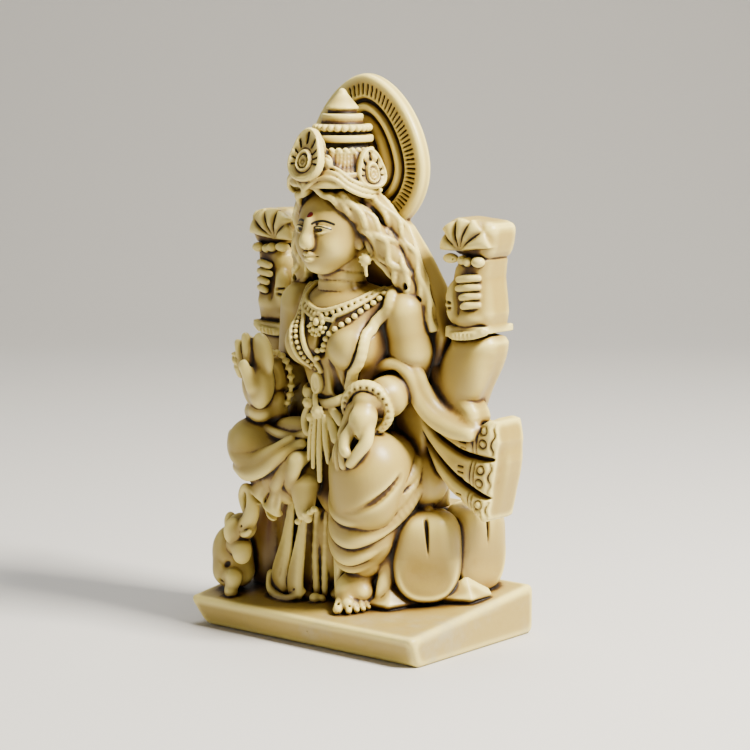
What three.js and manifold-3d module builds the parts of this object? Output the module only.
import * as THREE from "three";
import { mergeVertices } from "three/addons/utils/BufferGeometryUtils.js";
import Module from "manifold-3d";

// A seated four-armed deity with a lotus throne, a halo and a small elephant on a wedge plinth.
// Millimetres. +X is the figure's left, -Y is its front and +Z is up. The origin is the middle of
// the plinth's underside. Every mesh is one casting, with a small gap to its neighbours.

const wasm = await Module();
wasm.setup();

// Driving dimensions.
const HEIGHT = 114;
const GAP = 0.3;
const EDGE = 0.5;
const ARM_BACK = 8.5;

const PLINTH = { left: -31.5, right: 28.4, footHalf: 28.5, front: -21, footFront: -19, back: 19 };
const PLINTH_TOP = { front: 6, back: 10.3 };
const SEAT = { halfWidth: 17.6, frontDepth: 10.2, middleY: 6, back: 18, bottom: 5, top: 26 };
const PETAL = { halfWidth: 7.2, halfHeight: 9.4, halfThickness: 3.2, z: 17.4 };
const HALO = { halfWidth: 15.3, widestZ: 95.5, lower: 14, power: 1.65, front: -2, back: 1.5 };
const CROWN_Y = -8;
const LOTUS = { halfBase: 3.4, halfTop: 6.1, tall: 8.6 };

// Anatomy: centres and radii of the main masses.
const HEAD = { at: [0, -11, 84], radii: [6.9, 8.2, 9.3] };
const SHOULDER = [13, -4, 67];
const LEFT_ELBOW = [19.5, -1.5, 54.5];
const LEFT_WRIST = [13.4, -13, 51.8];
const RIGHT_ELBOW = [-18.8, -0.5, 53];
const RIGHT_WRIST = [-18.3, -9.6, 52];
const LEFT_KNEE = [9, -10, 36];
const LEFT_ANKLE = [6, -8, 13];
const RIGHT_KNEE = [-21.3, -11.5, 38];
const RIGHT_HEEL = [-6, -14.2, 30.5];

const IVORY = 0xd9cba4;
const SHADE = 0xc9b88c;
const STONE = 0xdcd0b0;

// Makers. Each returns one closed solid, with its surface moved out by g.

function solidOf(geometry) {
  const loose = geometry.index ? geometry.toNonIndexed() : geometry;
  const bare = new THREE.BufferGeometry();
  bare.setAttribute("position", loose.getAttribute("position"));
  const merged = mergeVertices(bare, 1e-4);
  const corners = merged.index.array;
  const kept = [];
  for (let i = 0; i < corners.length; i += 3) {
    const [a, b, c] = corners.subarray(i, i + 3);
    if (a !== b && b !== c && c !== a) kept.push(a, b, c);
  }
  const vertProperties = merged.attributes.position.array;
  const triVerts = new Uint32Array(kept);
  return new wasm.Manifold(new wasm.Mesh({ numProp: 3, vertProperties, triVerts }));
}

const joined = (solids) => solids.reduce((whole, next) => whole.add(next));
const vec = (p) => new THREE.Vector3(...p);
const mirrored = (side, [x, y, z]) => [side * x, y, z];

// An ellipsoid, turned about Z then placed.
function ball(at, radii, g, turn = 0, columns = 10, rows = 6) {
  const geometry = new THREE.SphereGeometry(1, columns, rows);
  geometry.rotateX(Math.PI / 2);
  geometry.scale(radii[0] + g, radii[1] + g, radii[2] + g);
  geometry.rotateZ(turn);
  geometry.translate(...at);
  return solidOf(geometry);
}

// A tapered capsule between two points.
function limb(a, b, radiusA, radiusB, g, sides = 8) {
  const start = vec(a);
  const span = vec(b).sub(start);
  const length = span.length();
  const low = radiusA + g;
  const high = radiusB + g;
  const bend = Math.SQRT1_2;
  const profile = [
    [0, -low],
    [low * bend, -low * bend],
    [low, 0],
    [high, length],
    [high * bend, length + high * bend],
    [0, length + high],
  ];
  const points = profile.map(([r, h]) => new THREE.Vector2(r, h));
  const geometry = new THREE.LatheGeometry(points, sides);
  const up = new THREE.Vector3(0, 1, 0);
  geometry.applyQuaternion(new THREE.Quaternion().setFromUnitVectors(up, span.normalize()));
  geometry.translate(start.x, start.y, start.z);
  return solidOf(geometry);
}

// Capsules end to end through a list of [point, radius].
function chain(stops, g, sides = 8) {
  const links = [];
  for (let i = 1; i < stops.length; i += 1) {
    const [a, radiusA] = stops[i - 1];
    const [b, radiusB] = stops[i];
    links.push(limb(a, b, radiusA, radiusB, g, sides));
  }
  return joined(links);
}

// A round bar along a smooth curve, with rounded ends.
function bar(points, radius, g, steps = 10, sides = 5) {
  const section = new THREE.Shape();
  for (let i = 0; i < sides; i += 1) {
    const angle = (2 * Math.PI * i) / sides;
    const x = (radius + g) * Math.cos(angle);
    const y = (radius + g) * Math.sin(angle);
    if (i === 0) section.moveTo(x, y);
    else section.lineTo(x, y);
  }
  const extrudePath = new THREE.CatmullRomCurve3(points.map(vec));
  const geometry = new THREE.ExtrudeGeometry(section, { steps, extrudePath });
  const ends = [points[0], points[points.length - 1]];
  const caps = ends.map((end) => ball(end, [radius, radius, radius], g, 0, 6, 4));
  return joined([solidOf(geometry), ...caps]);
}

// A ring whose axis runs along `axis`.
function ring(at, axis, radius, thickness, g, sides = 14) {
  const geometry = new THREE.TorusGeometry(radius, thickness + g, 5, sides);
  const up = new THREE.Vector3(0, 0, 1);
  geometry.applyQuaternion(new THREE.Quaternion().setFromUnitVectors(up, vec(axis).normalize()));
  geometry.translate(...at);
  return solidOf(geometry);
}

// A round tier about the crown's upright axis.
function tier(radiusLow, radiusHigh, z0, z1, g, y = CROWN_Y, sides = 14) {
  const geometry = new THREE.CylinderGeometry(radiusHigh + g, radiusLow + g, z1 - z0 + 2 * g, sides);
  geometry.rotateX(Math.PI / 2);
  geometry.translate(0, y, (z0 + z1) / 2);
  return solidOf(geometry);
}

// An outline carried from `from` to `to` along X, Y or Z, with chamfered rims.
const FRAMES = {
  x: [[0, 1, 0], [0, 0, 1], [1, 0, 0]],
  y: [[1, 0, 0], [0, 0, 1], [0, -1, 0]],
  z: [[1, 0, 0], [0, 1, 0], [0, 0, 1]],
};

function extruded(outline, along, from, to, g, edge = EDGE) {
  const shape = new THREE.Shape(outline.map(([a, b]) => new THREE.Vector2(a, b)));
  const geometry = new THREE.ExtrudeGeometry(shape, {
    depth: to - from + 2 * g - 2 * edge,
    bevelSize: edge,
    bevelThickness: edge,
    bevelOffset: g - edge,
    bevelSegments: 1,
  });
  const reach = along === "y" ? -to : from;
  geometry.translate(0, 0, reach - g + edge);
  geometry.applyMatrix4(new THREE.Matrix4().makeBasis(...FRAMES[along].map(vec)));
  return solidOf(geometry);
}

// The outline of a ribbon that follows [a, b, half width] stops.
function ribbon(stops) {
  const oneSide = [];
  const otherSide = [];
  stops.forEach(([a, b, half], i) => {
    const [a0, b0] = stops[Math.max(i - 1, 0)];
    const [a1, b1] = stops[Math.min(i + 1, stops.length - 1)];
    const length = Math.hypot(a1 - a0, b1 - b0);
    const across = [((b1 - b0) / length) * half, (-(a1 - a0) / length) * half];
    oneSide.push([a + across[0], b + across[1]]);
    otherSide.unshift([a - across[0], b - across[1]]);
  });
  return [...oneSide, ...otherSide];
}

// Outlines.

function haloOutline(points = 24) {
  const outline = [];
  for (let i = 0; i < points; i += 1) {
    const angle = (2 * Math.PI * i) / points;
    const above = Math.sin(angle) > 0;
    const power = above ? 2 / HALO.power : 1;
    const rise = above ? HEIGHT - HALO.widestZ : HALO.lower;
    const x = Math.sign(Math.cos(angle)) * Math.abs(Math.cos(angle)) ** power;
    const z = Math.sign(Math.sin(angle)) * Math.abs(Math.sin(angle)) ** power;
    outline.push([HALO.halfWidth * x, HALO.widestZ + rise * z]);
  }
  return outline;
}

function seatOutline(points = 8) {
  const outline = [[-SEAT.halfWidth, SEAT.back]];
  for (let i = 0; i <= points; i += 1) {
    const angle = Math.PI + (Math.PI * i) / points;
    const x = SEAT.halfWidth * Math.cos(angle);
    const y = SEAT.middleY + SEAT.frontDepth * Math.sin(angle);
    outline.push([x, y]);
  }
  outline.push([SEAT.halfWidth, SEAT.back]);
  return outline;
}

const MANTLE_SIDE = [[20.4, 62.4], [17.8, 70.6], [14.7, 77.8], [11.4, 84]];

function mantleOutline() {
  const left = [[15.5, 26.5], [15.5, 50], ...MANTLE_SIDE];
  const right = left.map(([x, z]) => [-x, z]).reverse();
  return [...left, ...right];
}

// The castings, in order of precedence: each one is cut back by those before it.
const parts = [];
const add = (name, colour, shape) => parts.push({ name, colour, shape });

function plinth(g) {
  const sideView = [
    [PLINTH.footFront, 0],
    [PLINTH.back, 0],
    [PLINTH.back, PLINTH_TOP.back],
    [PLINTH.front, PLINTH_TOP.front],
  ];
  const frontView = [
    [-PLINTH.footHalf, 0],
    [PLINTH.footHalf, 0],
    [PLINTH.right, PLINTH_TOP.back + 2],
    [PLINTH.left, PLINTH_TOP.back + 2],
    [PLINTH.left, PLINTH_TOP.front],
  ];
  const lengthways = extruded(sideView, "x", PLINTH.left, PLINTH.footHalf, g);
  const across = extruded(frontView, "y", PLINTH.front, PLINTH.back, g);
  return lengthways.intersect(across);
}

add("plinth", STONE, plinth);

// Small trim that is set into the larger castings.
for (const [word, side] of [["left", 1], ["right", -1]]) {
  add(`earring_${word}`, IVORY, (g) => ball([side * 8.6, -10.5, 76.4], [1.5, 1.5, 2.4], g, 0, 8, 6));
  add(`crown_side_rosette_${word}`, IVORY, (g) =>
    ball([side * 8.2, -9.5, 98.2], [1.5, 3.3, 4.4], g, side * 0.25, 10, 7));
}
add("crown_front_rosette", IVORY, (g) => ball([0, -19, 98.6], [3.9, 1.7, 5.6], g, 0, 10, 7));
add("left_bracelet", IVORY, (g) => ring(LEFT_WRIST, [-0.45, -0.85, -0.3], 3.9, 1.1, g));
add("right_bracelet", IVORY, (g) => ring(RIGHT_WRIST, [0, -1, 0.05], 4.3, 1.1, g));
add("choker", IVORY, (g) => {
  const half = [[9.4, -5.6, 73.2], [8.6, -10.6, 70.6], [5.4, -14.9, 68]];
  const route = [...half, [0, -16.7, 66.9], ...half.map((p) => mirrored(-1, p)).reverse()];
  return bar(route, 1, g, 10);
});
add("necklace", IVORY, (g) => {
  const half = [[11, -7.5, 71.4], [9, -13.5, 66], [5.5, -17.2, 60]];
  const route = [...half, [0, -17.2, 54], ...half.map((p) => mirrored(-1, p)).reverse()];
  return joined([bar(route, 0.8, g, 12), ball([0, -17.4, 53.4], [1.8, 1.2, 2.3], g, 0, 6, 4)]);
});
add("belt_knot", IVORY, (g) => {
  const rosettes = [-2.1, 2.1].map((x) => ball([x, -14.8, 48.2], [2.3, 1.5, 2.3], g, 0, 7, 5));
  return joined([...rosettes, limb([0, -14.6, 47.5], [0.5, -14.4, 38], 1.3, 1.5, g, 6)]);
});
add("sari_band", IVORY, (g) => {
  const route = [[12.5, -3, 71.6], [12.6, -9.4, 69.4], [9.6, -14.4, 62.4], [5.6, -14.2, 54.6], [3.8, -13, 50.4]];
  return bar(route, 1.5, g, 9);
});
add("belt", IVORY, (g) => {
  const half = [[9.3, -4, 49.2], [7.6, -10, 48.8], [4.2, -12.6, 48.4]];
  const route = [...half, [0, -13.2, 48.2], ...half.map((p) => mirrored(-1, p)).reverse()];
  return bar(route, 1.3, g, 10);
});

// Throne, back, halo and the trunk of the body.
add("lotus_seat", IVORY, (g) => extruded(seatOutline(), "z", SEAT.bottom, SEAT.top, g));
add("hair_mantle", SHADE, (g) => {
  const slope = [[-1.4, 26.5], [ARM_BACK, 26.5], [ARM_BACK, 62], [1.6, 84], [-1.4, 84]];
  const plate = extruded(mantleOutline(), "y", -1.4, ARM_BACK, g);
  return plate.intersect(extruded(slope, "x", -22, 22, g));
});
add("halo", IVORY, (g) => extruded(haloOutline(), "y", HALO.front, HALO.back, g, 0.7));
add("torso", IVORY, (g) =>
  joined([
    ball([0, -6.6, 61], [12.8, 8, 11.5], g, 0, 12, 8),
    limb([0, -5.6, 58], [0, -4.6, 45], 8.8, 9.4, g, 10),
    ball([5.2, -11.8, 60.4], [5, 4.8, 5.2], g, 0, 8, 6),
    ball([-5.2, -11.8, 60.4], [5, 4.8, 5.2], g, 0, 8, 6),
  ]));

// Hands and feet.
add("left_hand", IVORY, (g) =>
  chain([[[12.6, -15.2, 49.2], 2.6], [[11.6, -16.6, 44.4], 3], [[10.6, -17.4, 38.6], 1.5]], g));
add("right_hand", IVORY, (g) => {
  const palm = ball([-18.6, -14, 52.4], [3.9, 2.6, 5.2], g, 0, 10, 7);
  const fingers = chain([[[-19.4, -14.6, 56], 2.5], [[-20.8, -15, 59.4], 1.7]], g);
  return joined([palm, fingers]);
});
add("left_foot", IVORY, (g) => {
  const heel = ball([5.6, -5.5, 9.4], [3.4, 4, 3.2], g, 0, 10, 7);
  const toes = chain([[[5.5, -6.5, 11], 2.8], [[5, -11.4, 8.4], 2.3]], g);
  return joined([heel, toes]);
});
add("right_foot", IVORY, (g) => chain([[[-2.6, -15, 30], 2.3], [[1, -15.6, 28], 1.7]], g));

// Head and crown.
add("head", IVORY, (g) => ball(HEAD.at, HEAD.radii, g, 0, 12, 8));
add("crown_base", IVORY, (g) =>
  joined([
    tier(9.5, 9.2, 91.2, 95, g, -10.3),
    tier(9, 7, 94, 98.8, g, -9.3),
  ]));
add("crown_tiers", IVORY, (g) =>
  joined([
    tier(6.6, 6.6, 99.2, 101.3, g),
    tier(5, 5, 100.8, 102.2, g),
    tier(6, 6, 101.8, 103.4, g),
    tier(4.4, 4.4, 103, 105.5, g),
  ]));
add("crown_finial", IVORY, (g) => joined([tier(3, 3, 105.8, 107.4, g), tier(3.75, 0.4, 107, 111.2, g)]));
add("neck", IVORY, (g) => limb([0, -6.5, 69], [0, -8.4, 77], 4.9, 4.5, g, 12));
for (const [word, side] of [["left", 1], ["right", -1]]) {
  add(`hair_${word}`, SHADE, (g) => {
    const locks = [
      [[6.4, -10.5, 91], 2.2],
      [[9.6, -8, 85.6], 2.8],
      [[14.6, -4, 73], 3.3],
      [[15.8, -2.6, 60], 2.4],
    ];
    return chain(locks.map(([p, r]) => [mirrored(side, p), r]), g, 7);
  });
}

add("hair_cap", SHADE, (g) => ball([0, -6.2, 85], [9, 6.4, 10], g));

// Front arms.
add("left_forearm", IVORY, (g) => limb(LEFT_ELBOW, LEFT_WRIST, 4.1, 3, g));
add("right_forearm", IVORY, (g) => limb(RIGHT_ELBOW, [-18.4, -11, 52], 4, 3.1, g));
add("left_upper_arm", IVORY, (g) => limb(SHOULDER, LEFT_ELBOW, 4.7, 4.2, g));
add("right_upper_arm", IVORY, (g) => limb(mirrored(-1, SHOULDER), RIGHT_ELBOW, 4.7, 4.1, g));
add("shawl_loop", SHADE, (g) => ring([16, -8.4, 53], [-0.45, -0.85, 0.1], 4.7, 1.5, g));

// Rear arms: each stands on a slab that runs straight back.
function rearArm(word, side, wrist, hand, lotus) {
  const [wristX, wristZ] = wrist;
  const [handX, handZ] = hand;
  const [lotusX, lotusZ] = lotus;
  add(`rear_${word}_bracelet`, IVORY, (g) => {
    const across = ribbon([[wristX, wristZ - 1.1, 4.3], [wristX, wristZ + 1.1, 4.3]]);
    return extruded(across, "y", -1.6, ARM_BACK + 0.4, g);
  });
  add(`rear_${word}_hand`, IVORY, (g) => {
    const palm = ribbon([[wristX, wristZ + 1.6, 3.4], [handX, handZ, 3.9], [lotusX, lotusZ - 0.5, 3.3]]);
    return extruded(palm, "y", -2.4, ARM_BACK, g);
  });
  add(`rear_${word}_lotus`, IVORY, (g) => {
    const { halfBase, halfTop, tall } = LOTUS;
    const flower = [[lotusX, lotusZ, halfBase], [lotusX, lotusZ + 3, halfTop - 0.4]];
    flower.push([lotusX, lotusZ + tall * 0.8, halfTop], [lotusX, lotusZ + tall, halfTop - 1]);
    return extruded(ribbon(flower), "y", -3, ARM_BACK, g);
  });
  add(`rear_${word}_arm`, IVORY, (g) => {
    const route = [[17.4 * side, 45, 3.4], [21.6 * side, 53, 4.9], [wristX, wristZ - 1.4, 4]];
    return extruded(ribbon(route), "y", -0.8, ARM_BACK, g);
  });
}
rearArm("left", 1, [25.7, 64], [25.2, 71.5], [25.4, 77.4]);
rearArm("right", -1, [-25.4, 61], [-27.4, 69], [-25.6, 77]);

// Shawl ends.
const SHAWL_END = [[10, 44], [16, 52.5], [22, 49.2], [27.8, 46.4], [31.9, 46.8]];
SHAWL_END.push([32.5, 37.3], [29.9, 27], [27.9, 28.4], [20.3, 33.9]);
add("shawl_left", IVORY, (g) => extruded(SHAWL_END, "y", -1.6, 8, g));
const SHAWL_FALL = [[-15, 51], [-22, 48], [-24.5, 40], [-23, 31], [-16, 34]];
add("shawl_right", IVORY, (g) => extruded(SHAWL_FALL, "y", -4, 7, g));

// Legs and their drapery.
add("left_thigh", IVORY, (g) => chain([[[7.4, -1.4, 34], 8], [LEFT_KNEE, 8]], g, 10));
add("left_drape", IVORY, (g) => chain([[[8, -9.4, 29], 7.3], [[7.2, -8.6, 20], 6], [LEFT_ANKLE, 4]], g, 9));
add("right_leg", IVORY, (g) => chain([[[-7, -1, 36], 7.4], [RIGHT_KNEE, 5.6], [RIGHT_HEEL, 4]], g, 9));
add("right_drape", SHADE, (g) => chain([[[-19, -12, 31.4], 2.4], [[-9.6, -13.4, 27.6], 3.2]], g, 8));
const PLEATS = [[-9.9, 24.8], [-14, 22.5], [-17.4, 16.8], [-17.7, 5], [-8.3, 5], [-7.7, 23.6]];
add("front_pleats", SHADE, (g) => extruded(PLEATS, "y", -10.6, -4.6, g));
const STRIP = [[-7, 24.2], [-7, 5], [-4.2, 5], [-4.4, 24.4]];
add("pleat_strip", SHADE, (g) => extruded(STRIP, "y", -10, -4.6, g));

add("hips", IVORY, (g) => ball([0, -2, 33.5], [16, 10.2, 9.5], g));

// Elephant at the right front corner.
const TUSKER = { body: [-25.6, -12.6, 13.4], head: [-24.2, -14, 20.4] };
add("elephant_head", IVORY, (g) => {
  const skull = ball(TUSKER.head, [3.3, 3.2, 3.4], g, 0, 8, 6);
  const trunk = chain([[TUSKER.head, 2.2], [[-19.8, -14.6, 24.2], 1.6], [[-21, -13.8, 28.6], 1.2]], g, 6);
  return joined([skull, trunk]);
});
add("elephant_body", IVORY, (g) => {
  const barrel = ball(TUSKER.body, [5.4, 5, 6], g, 0, 10, 7);
  const legs = [[-28.2, -12], [-24.4, -15], [-22, -11]].map(([x, y]) =>
    limb([x, y, 11], [x, y, 7.4], 2.1, 2, g, 6));
  return joined([barrel, ...legs]);
});


// Petals stand round the seat, each facing outwards.
const PETAL_PLACES = [["front", 8.4, -5, 0.5], ["side", 18.4, -0.4, 0.75], ["back", 19.6, 11.6, 1.5]];
for (const [word, side] of [["left", 1], ["right", -1]]) {
  for (const [place, x, y, turn] of PETAL_PLACES) {
    const { halfWidth, halfHeight, halfThickness, z } = PETAL;
    const radii = [halfWidth, halfThickness, halfHeight];
    add(`petal_${word}_${place}`, IVORY, (g) => ball([side * x, y, z], radii, g, side * turn, 10, 7));
  }
}

// Precedence cuts, then one named mesh for each casting.

const touching = (a, b) => {
  for (let i = 0; i < 3; i += 1) {
    if (a.min[i] > b.max[i] || b.min[i] > a.max[i]) return false;
  }
  return true;
};

const largest = (solid) => solid.decompose().reduce((best, next) => (next.volume() > best.volume() ? next : best));

function meshOf({ name, colour }, solid) {
  const { vertProperties, triVerts } = solid.getMesh();
  const geometry = new THREE.BufferGeometry();
  geometry.setAttribute("position", new THREE.BufferAttribute(new Float32Array(vertProperties), 3));
  geometry.setIndex(new THREE.BufferAttribute(new Uint32Array(triVerts), 1));
  geometry.computeVertexNormals();
  const material = new THREE.MeshStandardMaterial({ color: colour, roughness: 0.5, metalness: 0 });
  const mesh = new THREE.Mesh(geometry, material);
  mesh.name = name;
  return mesh;
}

const group = new THREE.Group();
const finished = [];
for (const part of parts) {
  let solid = part.shape(0);
  for (const { reach, box } of finished) {
    if (touching(solid.boundingBox(), box)) solid = solid.subtract(reach);
  }
  const reach = part.shape(GAP);
  finished.push({ reach, box: reach.boundingBox() });
  group.add(meshOf(part, largest(solid)));
}

export default group;
